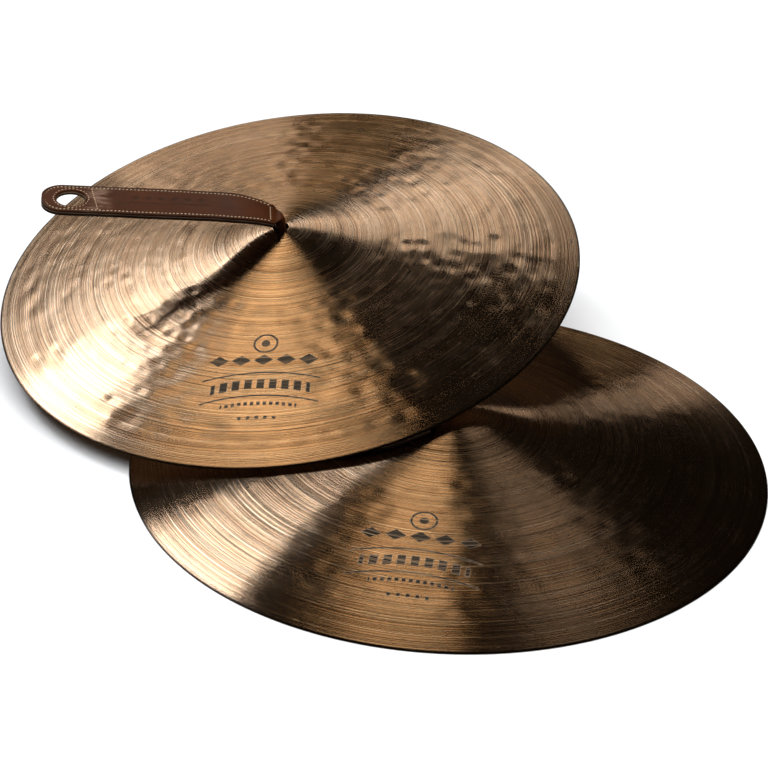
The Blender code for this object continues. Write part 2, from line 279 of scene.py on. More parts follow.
class Recipe:
    """A material being written: short calls that add nodes and join them."""

    def __init__(self, name):
        self.material = bpy.data.materials.new(name)
        self.material.use_nodes = True
        self.tree = self.material.node_tree
        self.shader = self.tree.nodes["Principled BSDF"]

    def node(self, kind, inputs=None, **settings):
        made = self.tree.nodes.new("ShaderNode" + kind)
        for key, value in settings.items():
            setattr(made, key, value)
        for key, value in (inputs or {}).items():
            self.feed(made.inputs[key], value)
        return made

    def feed(self, socket, value):
        if isinstance(value, bpy.types.NodeSocket):
            self.tree.links.new(value, socket)
        else:
            socket.default_value = value

    def math(self, operation, first, second=0.0):
        return self.node("Math", {0: first, 1: second}, operation=operation).outputs[0]

    def plus(self, first, second):
        return self.math("ADD", first, second)

    def minus(self, first, second):
        return self.math("SUBTRACT", first, second)

    def times(self, first, second):
        return self.math("MULTIPLY", first, second)

    def apart(self, first, second):
        return self.math("ABSOLUTE", self.minus(first, second))

    def vector(self, operation, first, second=(0.0, 0.0, 0.0)):
        made = self.node("VectorMath", {0: first, 1: second}, operation=operation)
        return made.outputs["Value" if operation in ("LENGTH", "DOT_PRODUCT") else "Vector"]

    def spread(self, value, low, high, to_low=0.0, to_high=1.0, smooth=False):
        made = self.node("MapRange", {"Value": value, "From Min": low, "From Max": high,
                                      "To Min": to_low, "To Max": to_high})
        made.interpolation_type = "SMOOTHSTEP" if smooth else "LINEAR"
        return made.outputs["Result"]

    def mix(self, share, first, second):
        made = self.tree.nodes.new("ShaderNodeMix")
        made.data_type = "RGBA"
        self.feed(made.inputs[0], share)
        self.feed(made.inputs[6], first)
        self.feed(made.inputs[7], second)
        return made.outputs[2]

    def noise(self, place, scale, detail=2.0, roughness=0.5):
        made = self.node("TexNoise", {"Vector": place, "Scale": scale, "Detail": detail,
                                      "Roughness": roughness})
        return made.outputs["Fac"]

    def bump(self, height, distance):
        inputs = {"Height": height, "Distance": distance, "Strength": 1.0}
        return self.node("Bump", inputs).outputs["Normal"]

    def set(self, **inputs):
        for key, value in inputs.items():
            self.feed(self.shader.inputs[key.replace("_", " ")], value)


BRONZE_DARK = (0.56, 0.34, 0.19, 1)
BRONZE_LIGHT = (0.93, 0.66, 0.44, 1)
LINE_DARK = (0.24, 0.14, 0.075, 1)
LINE_BRIGHT = (0.98, 0.80, 0.60, 1)
RIM_BROWN = (0.10, 0.06, 0.04, 1)
INK = (0.012, 0.009, 0.007, 1)


def bronze(name, seed, matrix, turn):
    """Lathed bronze: rings round the cymbal's axis, a print on the side that is its -Y."""
    recipe = Recipe(name)
    standing = recipe.node("TexCoord").outputs["Object"]
    offset = recipe.vector("SUBTRACT", standing, tuple(matrix.translation))
    sides = [tuple(matrix.to_3x3().col[index]) for index in range(3)]
    x, y, z = (recipe.vector("DOT_PRODUCT", offset, side) for side in sides)
    place = recipe.node("CombineXYZ", {"X": x, "Y": y, "Z": z}).outputs[0]
    flat = recipe.node("CombineXYZ", {"X": x, "Y": y}).outputs[0]
    reach = recipe.vector("LENGTH", flat)
    around = recipe.vector("NORMALIZE", flat)

    def rings(width, sweep, shift, detail):
        """Noise that changes over a radial width and slowly round the plate."""
        swept = recipe.vector("MULTIPLY", around, (sweep, sweep, 0.0))
        radial = recipe.node("CombineXYZ", {"Z": recipe.math("DIVIDE", reach, width)}).outputs[0]
        both = recipe.vector("ADD", swept, radial)
        moved = recipe.vector("ADD", both, (seed + shift, shift, 0.0))
        return recipe.noise(moved, 1.0, detail)

    broad = rings(0.0060, 0.22, 3.0, 1.0)
    middle = rings(0.0011, 0.22, 7.0, 1.0)
    fine = rings(0.00045, 0.5, 13.0, 0.0)
    blotch = recipe.noise(place, 26.0, 2.0, 0.5)
    tone = recipe.plus(recipe.spread(broad, 0.3, 0.7, 0.0, 0.45),
                       recipe.spread(middle, 0.3, 0.7, 0.0, 0.55))
    tone = recipe.times(tone, recipe.spread(blotch, 0.25, 0.75, 0.75, 1.1))
    colour = recipe.mix(tone, BRONZE_DARK, BRONZE_LIGHT)
    line = recipe.spread(rings(0.0013, 0.20, 29.0, 0.0), 0.64, 0.69, 0.0, 0.6, smooth=True)
    colour = recipe.mix(line, colour, LINE_DARK)
    bright = recipe.spread(rings(0.0015, 0.15, 41.0, 0.0), 0.63, 0.68, 0.0, 0.55, smooth=True)
    colour = recipe.mix(bright, colour, LINE_BRIGHT)
    rim = recipe.spread(reach, RADIUS - 0.0022, RADIUS - 0.0004, 0.0, 0.85, smooth=True)
    colour = recipe.mix(rim, colour, RIM_BROWN)
    worn = recipe.spread(middle, 0.25, 0.45, 0.55, 1.0)
    ink = recipe.times(printed_mark(recipe, x, y, turn), worn)
    colour = recipe.mix(ink, colour, INK)
    rough = recipe.plus(recipe.spread(middle, 0.3, 0.7, 0.19, 0.27),
                        recipe.spread(blotch, 0.3, 0.7, -0.02, 0.04))
    relief = recipe.plus(middle, recipe.times(fine, 0.08))
    recipe.set(Base_Color=colour, Metallic=recipe.minus(1.0, ink), Roughness=rough,
               Anisotropic=1.0, Anisotropic_Rotation=0.25, Normal=recipe.bump(relief, 0.00028))
    tangent = recipe.vector("CROSS_PRODUCT", sides[2], offset)
    turned = recipe.node("VectorTransform", {"Vector": tangent}, vector_type="VECTOR",
                         convert_from="OBJECT", convert_to="WORLD").outputs[0]
    recipe.feed(recipe.shader.inputs["Tangent"], recipe.vector("NORMALIZE", turned))
    return recipe.material


# The emblem, in metres out from the plate's axis and to either side of the middle
EMBLEM_ARC = 3.2
EMBLEM_RING_AT = 0.1175
EMBLEM_RING_RADIUS = 0.0085
EMBLEM_DOT_RADIUS = 0.0030
EMBLEM_LOZENGES_AT = 0.1335
EMBLEM_LOZENGE_PITCH = 0.0165
EMBLEM_LOZENGE_SLIM = 0.0115
EMBLEM_LOZENGE_HALF = 0.0048
EMBLEM_LOZENGES_REACH = 0.0410
# Place, half height, pitch, share that is filled, half length
EMBLEM_ROWS = (
    (0.1560, 0.0042, 0.0090, 0.55, 0.0360),
    (0.1735, 0.0013, 0.0046, 0.5, 0.0275),
    (0.1860, 0.0011, 0.0062, 0.35, 0.0160))
EMBLEM_ARCS_AT = (0.1455, 0.1665)
EMBLEM_ARC_REACH = 0.0430
EMBLEM_SOFT = 0.0004


def printed_mark(recipe, x, y, turn):
    """A plain printed emblem: a ring, five lozenges, two arcs round a row of bars, and dots."""
    across = recipe.plus(recipe.times(x, math.cos(turn)), recipe.times(y, math.sin(turn)))
    along = recipe.minus(recipe.times(x, math.sin(turn)), recipe.times(y, math.cos(turn)))
    square = recipe.times(across, across)
    level = recipe.minus(along, recipe.times(square, EMBLEM_ARC))

    def band(value, middle, half, soft=EMBLEM_SOFT):
        return recipe.spread(recipe.apart(value, middle), half + soft, half)

    def cells(pitch):
        """How far across its own cell a point is, from 0 to 1."""
        return recipe.math("FRACT", recipe.plus(recipe.math("DIVIDE", across, pitch), 0.5))

    def row(height, half_height, pitch, share, half_length):
        """Evenly spaced blocks along a bowed line."""
        blocks = recipe.times(band(cells(pitch), 0.5, share / 2, 0.06),
                              band(level, height, half_height))
        return recipe.times(blocks, band(across, 0.0, half_length))

    offset = recipe.minus(along, EMBLEM_RING_AT)
    away = recipe.math("SQRT", recipe.plus(square, recipe.times(offset, offset)))
    beside = recipe.apart(cells(EMBLEM_LOZENGE_PITCH), 0.5)
    side = recipe.times(beside, EMBLEM_LOZENGE_SLIM)
    height = recipe.apart(along, EMBLEM_LOZENGES_AT)
    lozenges = recipe.spread(recipe.plus(side, height), EMBLEM_LOZENGE_HALF + EMBLEM_SOFT,
                             EMBLEM_LOZENGE_HALF)
    lozenges = recipe.times(lozenges, band(across, 0.0, EMBLEM_LOZENGES_REACH))
    shapes = [band(away, EMBLEM_RING_RADIUS, 0.0006), band(away, 0.0, EMBLEM_DOT_RADIUS), lozenges]
    shapes += [row(*numbers) for numbers in EMBLEM_ROWS]
    for place in EMBLEM_ARCS_AT:
        shapes.append(recipe.times(band(level, place, 0.0005),
                                   band(across, 0.0, EMBLEM_ARC_REACH)))
    mark = shapes[0]
    for shape in shapes[1:]:
        mark = recipe.math("MAXIMUM", mark, shape)
    return mark


# A lighter patch on the face near its eye's cross seam: partly rubbed wear, partly a painted sheen
# where the leather bends up
SCUFF_AND_SHEEN_ALONG = 0.1335
SCUFF_AND_SHEEN_REACH = 0.013
SCUFF_AND_SHEEN_TAN = (0.30, 0.19, 0.13, 1)
STAMP_DARK = (0.02, 0.008, 0.004, 1)
BROWN_DARK = (0.030, 0.0075, 0.0018, 1)
BROWN_LIGHT = (0.062, 0.0165, 0.0040, 1)
BACK_DARK = (0.022, 0.008, 0.004, 1)
BACK_LIGHT = (0.048, 0.018, 0.009, 1)
FELT_DARK = (0.13, 0.075, 0.040, 1)
FELT_LIGHT = (0.30, 0.19, 0.11, 1)
THREAD_DARK = (0.42, 0.28, 0.15, 1)
THREAD_LIGHT = (0.75, 0.58, 0.38, 1)


def darker(colour, share):
    return tuple(share * part for part in colour[:3]) + (1,)


def leather(name, dark, light, polish, emboss=False):
    """Waxed strap leather. The mesh says where a point is along and across the strap."""
    recipe = Recipe(name)
    place = recipe.node("TexCoord").outputs["Object"]
    along = recipe.node("Attribute", attribute_name="along").outputs["Fac"]
    edge = recipe.node("Attribute", attribute_name="edge").outputs["Fac"]
    clouds = recipe.noise(place, 34.0, 4.0, 0.6)
    streaks = recipe.noise(recipe.vector("MULTIPLY", place, (1.0, 4.0, 4.0)), 60.0, 4.0, 0.65)
    grain = recipe.node("TexVoronoi", {"Vector": place, "Scale": 900.0}).outputs["Distance"]
    pores = recipe.noise(place, 1400.0, 2.0, 0.6)
    tone = recipe.plus(recipe.spread(clouds, 0.3, 0.7, 0.0, 0.6),
                       recipe.spread(streaks, 0.3, 0.7, 0.0, 0.4))
    colour = recipe.mix(tone, dark, light)
    # Lighter tan near the eye's cross seam: partly rubbed wear, partly a painted sheen
    rub_and_sheen = recipe.spread(recipe.apart(along, SCUFF_AND_SHEEN_ALONG), SCUFF_AND_SHEEN_REACH, 0.002, smooth=True)
    rub_and_sheen = recipe.times(rub_and_sheen, recipe.spread(streaks, 0.42, 0.62, 0.0, 0.5))
    colour = recipe.mix(rub_and_sheen, colour, SCUFF_AND_SHEEN_TAN)
    burnish = recipe.spread(edge, 0.0024, 0.0002, 0.0, 0.75, smooth=True)
    # Darker along the stitch lines: painted shade in the seams' groove, joined with the real darker
    # burnished edges
    off_seam = recipe.apart(edge, STITCH_INSET)
    painted_seam_shade = recipe.spread(off_seam, 0.0009, 0.0003, 0.0, 0.7, smooth=True)
    shade = recipe.math("MAXIMUM", burnish, painted_seam_shade)
    colour = recipe.mix(shade, colour, darker(dark, 0.3))
    relief = recipe.plus(recipe.times(grain, -0.6), recipe.times(pores, 0.4))
    if emboss:
        stamp = stamped_row(recipe, along)
        colour = recipe.mix(recipe.times(stamp, 0.6), colour, STAMP_DARK)
        relief = recipe.minus(relief, recipe.times(stamp, 2.5))
    rough = recipe.plus(recipe.spread(clouds, 0.3, 0.7, polish, polish + 0.14),
                        recipe.times(rub_and_sheen, 0.25))
    recipe.set(Base_Color=colour, Roughness=rough, Specular_IOR_Level=0.22,
               Normal=recipe.bump(relief, 0.00012))
    return recipe.material


STAMP_MIDDLE = 0.080
STAMP_HALF_LENGTH = 0.030
STAMP_PITCH = 0.010
STAMP_LOZENGES_AT = -0.004
STAMP_LINE_AT = 0.0028


def stamped_row(recipe, along):
    """A plain row of stamped lozenges over a thin line, near the strap's middle."""
    across = recipe.node("Attribute", attribute_name="across").outputs["Fac"]
    cell = recipe.math("FRACT", recipe.math("DIVIDE", along, STAMP_PITCH))
    side = recipe.times(recipe.apart(cell, 0.5), STAMP_PITCH)
    over = recipe.apart(across, STAMP_LOZENGES_AT)
    lozenge = recipe.spread(recipe.plus(side, over), 0.0036, 0.0030)
    line = recipe.spread(recipe.apart(across, STAMP_LINE_AT), 0.0006, 0.0003)
    window = recipe.spread(recipe.apart(along, STAMP_MIDDLE), STAMP_HALF_LENGTH + 0.0002,
                           STAMP_HALF_LENGTH - 0.0002)
    return recipe.times(recipe.math("MAXIMUM", lozenge, line), window)


def fibre(name, dark, light, scale):
    """Matt cut felt or waxed thread."""
    recipe = Recipe(name)
    place = recipe.node("TexCoord").outputs["Object"]
    strands = recipe.noise(place, scale, 4.0, 0.7)
    wear = recipe.noise(place, 0.06 * scale, 2.0, 0.5)
    colour = recipe.mix(strands, dark, light)
    soil = recipe.spread(wear, 0.45, 0.7, 0.0, 0.5)
    colour = recipe.mix(soil, colour, darker(dark, 0.4))
    recipe.set(Base_Color=colour, Roughness=recipe.spread(strands, 0.3, 0.7, 0.6, 0.85),
               Sheen_Weight=0.3, Sheen_Roughness=0.5, Normal=recipe.bump(strands, 0.00015))
    return recipe.material


def floor_material():
    recipe = Recipe("pale_floor")
    place = recipe.node("TexCoord").outputs["Object"]
    colour = recipe.mix(recipe.noise(place, 3.0), (0.90, 0.90, 0.90, 1), (0.93, 0.93, 0.93, 1))
    recipe.set(Base_Color=colour, Roughness=0.9, Specular_IOR_Level=0.1)
    return recipe.material


# ---- Mesh helpers ----

def add_piece(name, mesh, material, matrix=None):
    piece = bpy.data.objects.new(name, mesh)
    bpy.context.scene.collection.objects.link(piece)
    piece.data.materials.append(material)
    if matrix:
        mesh.transform(matrix)
    return piece


def grid_faces(rows, columns, wrap_rows, wrap_columns):
    """Faces between a grid of points, joined end to end where it wraps."""
    faces = []
    for row in range(rows if wrap_rows else rows - 1):
        below = ((row + 1) % rows) * columns
        here = row * columns
        for column in range(columns if wrap_columns else columns - 1):
            after = (column + 1) % columns
            faces.append((here + column, below + column, below + after, here + after))
    return faces


def capped_faces(rings, count):
    """Faces of a closed tube through so many rings of points, and its two ends."""
    last = (rings - 1) * count
    ends = [tuple(range(count)), tuple(range(last, last + count))]
    return grid_faces(rings, count, False, True) + ends


def mesh_from(name, points, faces, smooth=True):
    mesh = bpy.data.meshes.new(name)
    mesh.from_pydata([tuple(point) for point in points], [], faces)
    if smooth:
        mesh.shade_smooth()
    return mesh


def face_outwards(mesh, merge=0.0):
    """Turn every face outwards, after points closer than a merge distance become one."""
    shape = bmesh.new()
    shape.from_mesh(mesh)
    if merge:
        bmesh.ops.remove_doubles(shape, verts=shape.verts, dist=merge)
    bmesh.ops.recalc_face_normals(shape, faces=shape.faces)
    shape.to_mesh(mesh)
    shape.free()


def set_attribute(mesh, name, values):
    data = mesh.attributes.new(name, "FLOAT", "POINT")
    data.data.foreach_set("value", np.asarray(values, dtype=np.float32))


# ---- Cymbals ----

def outer_height(distance):
    """Height of the outer face over the rim's underside, at distances from the axis."""
    distance = np.asarray(distance, dtype=float)
    bow = BOW_RISE * (1 - (distance / RADIUS) ** 2)
    foot = BOW_RISE * (1 - (BELL_RADIUS / RADIUS) ** 2)
    swell = BELL_TOP - foot
    share = distance / BELL_RADIUS
    inside = foot + swell * np.cos(0.5 * math.pi * np.minimum(share, 1))
    bell = np.where(share < 1, inside, foot - swell * 0.5 * math.pi * (share - 1))
    return RIM_THICKNESS + 0.5 * (bow + bell + np.hypot(bow - bell, BELL_FILLET))


def wall_thickness(distance):
    return RIM_THICKNESS + (CENTRE_THICKNESS - RIM_THICKNESS) * (1 - distance / RADIUS)


def lathe_grooves(radii, angles, rng, depth):
    """Turned grooves and ridges, some of which fade out part of the way round."""
    relief = np.zeros((len(radii), len(angles)))
    place = HOLE_RADIUS + 0.004
    while place < RADIUS - 0.005:
        width = rng.uniform(*GROOVE_WIDTHS)
        on_bell = place < BELL_RADIUS
        size = rng.uniform(-1, 1) * depth * (1.5 if on_bell else 1.0) * width / 0.002
        ring = size * np.exp(-((radii - place) / width) ** 2)
        middle = rng.uniform(0, 2 * math.pi)
        fade = rng.uniform(0, 1)
        window = 1 - fade * (0.5 - 0.5 * np.cos(angles - middle))
        relief += ring[:, None] * window[None, :]
        place += rng.uniform(*GROOVE_STEPS)
    return relief


def hammer_marks(radii, angles, rng, depth):
    """Shallow round dents in loose rings over the bow."""
    relief = np.zeros((len(radii), len(angles)))
    step = 2 * math.pi / len(angles)
    ring = HAMMER_FIRST_RING
    while ring < RADIUS - 0.022:
        count = int(2 * math.pi * ring / HAMMER_PITCH)
        for index in range(count):
            reach = ring + rng.normal(0, 0.0022)
            bearing = 2 * math.pi * (index + rng.uniform(-0.25, 0.25)) / count
            wide = rng.uniform(*HAMMER_WIDTHS)
            size = depth * rng.uniform(0.35, 1.0)
            rows = np.nonzero(np.abs(radii - reach) < 3 * wide)[0]
            span = int(3 * wide / (reach * step)) + 1
            middle = int(round(bearing / step))
            columns = np.arange(middle - span, middle + span + 1)
            arc = (columns * step - bearing) * reach
            bowl = np.exp(-0.5 * ((radii[rows, None] - reach) / wide) ** 2
                          - 0.5 * (arc[None, :] / (1.25 * wide)) ** 2)
            relief[np.ix_(rows, columns % len(angles))] -= size * bowl
        ring += rng.uniform(*HAMMER_RING_STEPS)
    return relief


def plate(side, seed, matrix, turn, dent):
    """One cymbal: a closed turned mesh with its grooves and hammer marks worked in."""
    name = f"{side}_plate"
    rng = np.random.default_rng(seed)
    angles = np.linspace(0, 2 * math.pi, SEGMENTS, endpoint=False)
    top = np.linspace(HOLE_RADIUS + 0.0003, RADIUS - 0.0003, TOP_RINGS)
    calm = np.clip((RADIUS - 0.004 - top) / 0.008, 0, 1)[:, None]
    relief = lathe_grooves(top, angles, rng, LATHE_DEPTH) + hammer_marks(top, angles, rng, dent)
    upper = outer_height(top)[:, None] + relief * calm
    under = np.linspace(RADIUS - 0.0004, HOLE_RADIUS + 0.0003, UNDER_RINGS)
    lower = outer_height(under) - wall_thickness(under)
    lower *= np.clip((RADIUS - LAND_WIDTH - under) / LAND_WIDTH, 0, 1)
    quiet = np.clip((RADIUS - 0.012 - under) / 0.008, 0, 1)[:, None]
    inner = lathe_grooves(under, angles, rng, UNDER_LATHE_DEPTH)
    inner -= 0.3 * hammer_marks(under, angles, rng, UNDER_DENT)
    lower = lower[:, None] - np.abs(inner) * quiet
    rim_height = np.array([RIM_THICKNESS * 0.8, RIM_THICKNESS * 0.45, RIM_THICKNESS * 0.12])
    hole_height = float(outer_height(HOLE_RADIUS)) - np.array([0.75, 0.5, 0.25]) * CENTRE_THICKNESS
    radii = np.concatenate([top, np.full(3, RADIUS), under, np.full(3, HOLE_RADIUS)])
    heights = np.concatenate([upper, np.repeat(rim_height[:, None], SEGMENTS, 1), lower,
                              np.repeat(hole_height[:, None], SEGMENTS, 1)])
    x = radii[:, None] * np.cos(angles)[None, :]
    y = radii[:, None] * np.sin(angles)[None, :]
    points = np.stack([x, y, heights], axis=-1).reshape(-1, 3)
    mesh = mesh_from(name, points, grid_faces(len(radii), SEGMENTS, True, True))
    face_outwards(mesh)
    piece = add_piece(name, mesh, bronze(name + "_bronze", seed, matrix, turn), matrix)
    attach(piece, f"{side}_cymbal")
    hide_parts(f"{side}_cymbal")


# ---- Where the straps run ----

def eased(share):
    share = min(1.0, max(0.0, share))
    return share * share * (3 - 2 * share)


def upper_slope(distance):
    """The strap's slope: steep out of the hole, less at the seam, easing off along the bend."""
    if distance < 0:
        share = max(0.0, 1 + distance / UPPER_NECK_LENGTH)
        return UPPER_NECK_START + (UPPER_SEAM_SLOPE - UPPER_NECK_START) * share
    left = max(0.0, 1 - distance / UPPER_BEND_LENGTH)
    return UPPER_STRAP_SLOPE + (UPPER_SEAM_SLOPE - UPPER_STRAP_SLOPE) * left ** 2


def upper_route(axis):
    """Up out of the hole along the cymbal's axis, over, then straight: the hinge's frame."""
    steps = 80
    stops = np.linspace(-UPPER_NECK_LENGTH, UPPER_BEND_LENGTH, steps + 1)
    step = float(stops[1] - stops[0])
    slopes = [upper_slope(float(stop) + step / 2) for stop in stops[:-1]]
    out = NECK_THICKNESS / 2 + np.concatenate([[0], np.cumsum(np.cos(slopes)) * step])
    up = np.concatenate([[0], np.cumsum(np.sin(slopes)) * step])
    side = axis.cross(Vector((1, 0, 0))).normalized()
    lay = axis.cross(side).normalized()

    def bent(distance, across, lift):
        slope = upper_slope(distance)
        past = max(0.0, distance - UPPER_BEND_LENGTH)
        before = min(0.0, distance + UPPER_NECK_LENGTH)
        x = float(np.interp(distance, stops, out)) + past * math.cos(slope)
        z = float(np.interp(distance, stops, up)) + past * math.sin(slope) + before
        roll = UPPER_STRAP_ROLL * min(1.0, max(0.0, 1 + distance / UPPER_NECK_LENGTH))
        over = lift * math.cos(roll) - across * math.sin(roll)
        beside = across * math.cos(roll) + lift * math.sin(roll)
        return Vector((x - over * math.sin(slope), beside, z + over * math.cos(slope)))

    def place(distance, across, lift):
        travelled = distance + UPPER_NECK_LENGTH
        share = eased((travelled + 0.005) / 0.007)
        if share == 1:
            return bent(distance, across, lift)
        thong = axis * travelled + side * across + lay * (lift - NECK_THICKNESS / 2)
        return thong.lerp(bent(distance, across, lift), share)

    return place


def lower_route():
    """Up out of the hole, over its edge, then laid on the cymbal: the cymbal's frame."""

    def ground(distance):
        if distance < 0:
            share = 1 + distance / LOWER_NECK_LENGTH
            start = math.atan2(LOWER_NECK_END.y, LOWER_NECK_END.x) % (2 * math.pi)
            heading = start + (LOWER_STRAP_HEADING - start) * eased(share)
            return LOWER_NECK_END * share, heading
        bend = LOWER_STRAP_TURN / STRAP_LENGTH
        heading = LOWER_STRAP_HEADING + bend * distance
        start = LOWER_STRAP_HEADING
        x = LOWER_NECK_END.x + (math.sin(heading) - math.sin(start)) / bend
        y = LOWER_NECK_END.y - (math.cos(heading) - math.cos(start)) / bend
        return Vector((x, y)), heading

    top = float(outer_height(HOLE_RADIUS)) + LAY_GAP
    way = LOWER_NECK_END.normalized()

    def place(distance, across, lift):
        middle, heading = ground(distance)
        x = middle.x - across * math.sin(heading)
        y = middle.y + across * math.cos(heading)
        laid = Vector((x, y, float(outer_height(math.hypot(x, y))) + LAY_GAP + lift))
        travelled = distance + LOWER_NECK_LENGTH
        share = eased((travelled + 0.001) / 0.006)
        if share == 1:
            return laid
        inside = NECK_THICKNESS / 2 - lift
        thong = Vector((way.x * inside - way.y * across, way.y * inside + way.x * across,
                        top + min(travelled, 0.002)))
        return thong.lerp(laid, share)

    return place


def strap_half_width(distance):
    """Half the strap's width: it narrows towards the neck and has round corners at its end."""
    share = min(1.0, max(0.0, distance / NECK_TAPER))
    width = NECK_HALF_WIDTH + (STRAP_HALF_WIDTH - NECK_HALF_WIDTH) * math.sin(share * math.pi / 2)
    past = distance - (STRAP_LENGTH - END_CORNER)
    if past > 0:
        width -= END_CORNER - math.sqrt(max(0.0, END_CORNER ** 2 - past ** 2))
    return width


def leather_half_width(neck_length):
    """Half the face leather's width, from the thong in the hole to the strap's end."""

    def width(distance):
        if distance >= 0:
            return strap_half_width(distance)
        share = max(0.0, distance / neck_length + 1)
        plain = THONG_HALF_WIDTH + (NECK_HALF_WIDTH - THONG_HALF_WIDTH) * share ** 1.5
        shoulder = THONG_HALF_WIDTH + SHOULDER * eased((distance + neck_length + 0.0030) / 0.0022)
        return max(plain, shoulder)

    return width


# ---- Straps ----

# Distances in from the strap's edge, and how many more steps lead to its middle
EDGE_STEPS = (0.0, 0.00012, 0.00035, 0.0007, 0.0013, 0.0021, 0.0027, 0.0032, 0.0037, 0.0043,
              0.0053, 0.0070)
INNER_STEPS = 7
NECK_STEP = 0.0007
STRAP_STEP = 0.0014


def columns_across(half):
    """Distances across the strap, close together at its edges and its seams."""
    squeeze = min(1.0, half / 0.0085)
    edge = [half - step * squeeze for step in EDGE_STEPS]
    inner = [edge[-1] * (1 - (index + 1) / (INNER_STEPS + 1)) for index in range(INNER_STEPS)]
    right = edge + inner
    return right + [0.0] + [-value for value in reversed(right)]


def stations_along(start):
    """Distances along the strap, close together round its end."""
    turn = STRAP_LENGTH - END_CORNER
    neck = list(np.arange(start, 0.006, NECK_STEP))
    straight = list(np.arange(neck[-1] + STRAP_STEP, turn - 0.0004, STRAP_STEP))
    curved = [turn + END_CORNER * math.sin(angle) for angle in np.linspace(0, math.pi / 2, 16)]
    return [float(value) for value in neck + straight + curved]


def edge_drop(inset, thickness, radius):
    """How far a rounded edge lies below the face, at a distance in from the edge."""
    radius = min(radius, thickness / 2)
    if inset >= radius:
        return 0.0
    return radius - math.sqrt(max(0.0, radius ** 2 - (radius - inset) ** 2))


def slab(name, start, half_width, low, high, shape):
    """A closed strip in the strap's own flat coordinates: along, across, lift."""
    points = []
    stations = stations_along(start)
    for distance in stations:
        half = half_width(distance)
        bottom = low(distance)
        top = high(distance)
        across = columns_across(half)
        soft = 0.0006 + 0.0034 * eased(-distance / 0.005)
        for value in across:
            drop = edge_drop(half - abs(value), top - bottom, soft)
            points.append((distance, value, top - drop + shape(distance, value, half)))
        for value in reversed(across):
            rise = edge_drop(half - abs(value), top - bottom, soft)
            points.append((distance, value, bottom + rise))
    ring = len(points) // len(stations)
    faces = grid_faces(len(stations), ring, False, True)
    half_ring = ring // 2
    for row in (0, len(stations) - 1):
        base = row * ring
        for column in range(half_ring - 1):
            opposite = base + ring - 1 - column
            faces.append((base + column, base + column + 1, opposite - 1, opposite))
    mesh = mesh_from(name, points, faces)
    face_outwards(mesh, 0.00001)
    return mesh


def cut_eye(mesh, bottom, top):
    """The mesh with the round finger hole cut out, its top edge eased."""
    outline = ((EYE_RADIUS + 0.0004, bottom - 0.001), (EYE_RADIUS + 0.0004, bottom),
               (EYE_RADIUS, bottom + 0.0004), (EYE_RADIUS, top - 0.0005),
               (EYE_RADIUS + 0.0005, top), (EYE_RADIUS + 0.0010, top + 0.0006))
    centre = STRAP_LENGTH - EYE_FROM_END
    points = []
    for radius, height in outline:
        for index in range(EYE_SEGMENTS):
            angle = 2 * math.pi * (index + 0.37) / EYE_SEGMENTS
            points.append((centre + radius * math.cos(angle), radius * math.sin(angle), height))
    faces = capped_faces(len(outline), EYE_SEGMENTS)
    tool_mesh = mesh_from("eye_cutter", points, faces, smooth=False)
    face_outwards(tool_mesh)
    tool = bpy.data.objects.new("eye_cutter", tool_mesh)
    work = bpy.data.objects.new("eye_work", mesh)
    for thing in (tool, work):
        bpy.context.scene.collection.objects.link(thing)
    cut = work.modifiers.new("Finger hole", "BOOLEAN")
    cut.operation = "DIFFERENCE"
    cut.object = tool
    bpy.context.view_layer.update()
    depsgraph = bpy.context.evaluated_depsgraph_get()
    result = bpy.data.meshes.new_from_object(work.evaluated_get(depsgraph))
    for thing in (tool, work):
        bpy.data.objects.remove(thing)
    return result


def crinkle(distance, across, size):
    """Slow waves in the leather past its first seam, the same for every layer."""
    growth = min(1.0, max(0.0, distance / 0.02))
    slow = math.sin(distance * 71 + 1.3) * math.sin(distance * 31 + across * 60 + 0.4)
    quick = math.sin(distance * 190 + across * 140) * math.sin(across * 170 - distance * 83)
    return growth * (size * (slow + 0.35 * quick))


def lay_out(mesh, place, half_width, wave):
    """Bend a flat strip along its route, and keep its flat place for the material."""
    flat = np.zeros(len(mesh.vertices) * 3)
    mesh.vertices.foreach_get("co", flat)
    flat = flat.reshape(-1, 3)
    edge = []
    for vertex, (distance, across, lift) in zip(mesh.vertices, flat):
        vertex.co = place(distance, across, lift + crinkle(distance, across, wave))
        edge.append(max(0.0, half_width(distance) - abs(across)))
    set_attribute(mesh, "along", flat[:, 0])
    set_attribute(mesh, "across", flat[:, 1])
    set_attribute(mesh, "edge", edge)
    mesh.shade_smooth()
    mesh.set_sharp_from_angle(angle=math.radians(50))


def face_shape(distance, across, half):
    """The face's crown, and the grooves that its seams pull into it."""
    if distance < 0:
        return 0.0
    grow = min(1.0, distance / 0.01)
    crown = FACE_CROWN * (1 - (across / half) ** 2)
    seam = math.exp(-((half - abs(across) - STITCH_INSET) / 0.00055) ** 2)
    centre = STRAP_LENGTH - EYE_FROM_END
    ring = math.hypot(distance - centre, across) - EYE_SEAM_RADIUS
    eye = math.exp(-(ring / 0.0006) ** 2)
    cross_at = STRAP_LENGTH - EYE_CROSS_FROM_END - EYE_CROSS_SLANT * across / half
    cross = math.exp(-((distance - cross_at) / 0.0007) ** 2)
    neck = math.exp(-((distance - STITCH_INSET) / 0.0007) ** 2)
    return grow * crown - SEAM_DEPTH * max(seam, eye, cross, neck)


def constant(value):
    return lambda distance: value


def flat_shape(distance, across, half):
    return 0.0


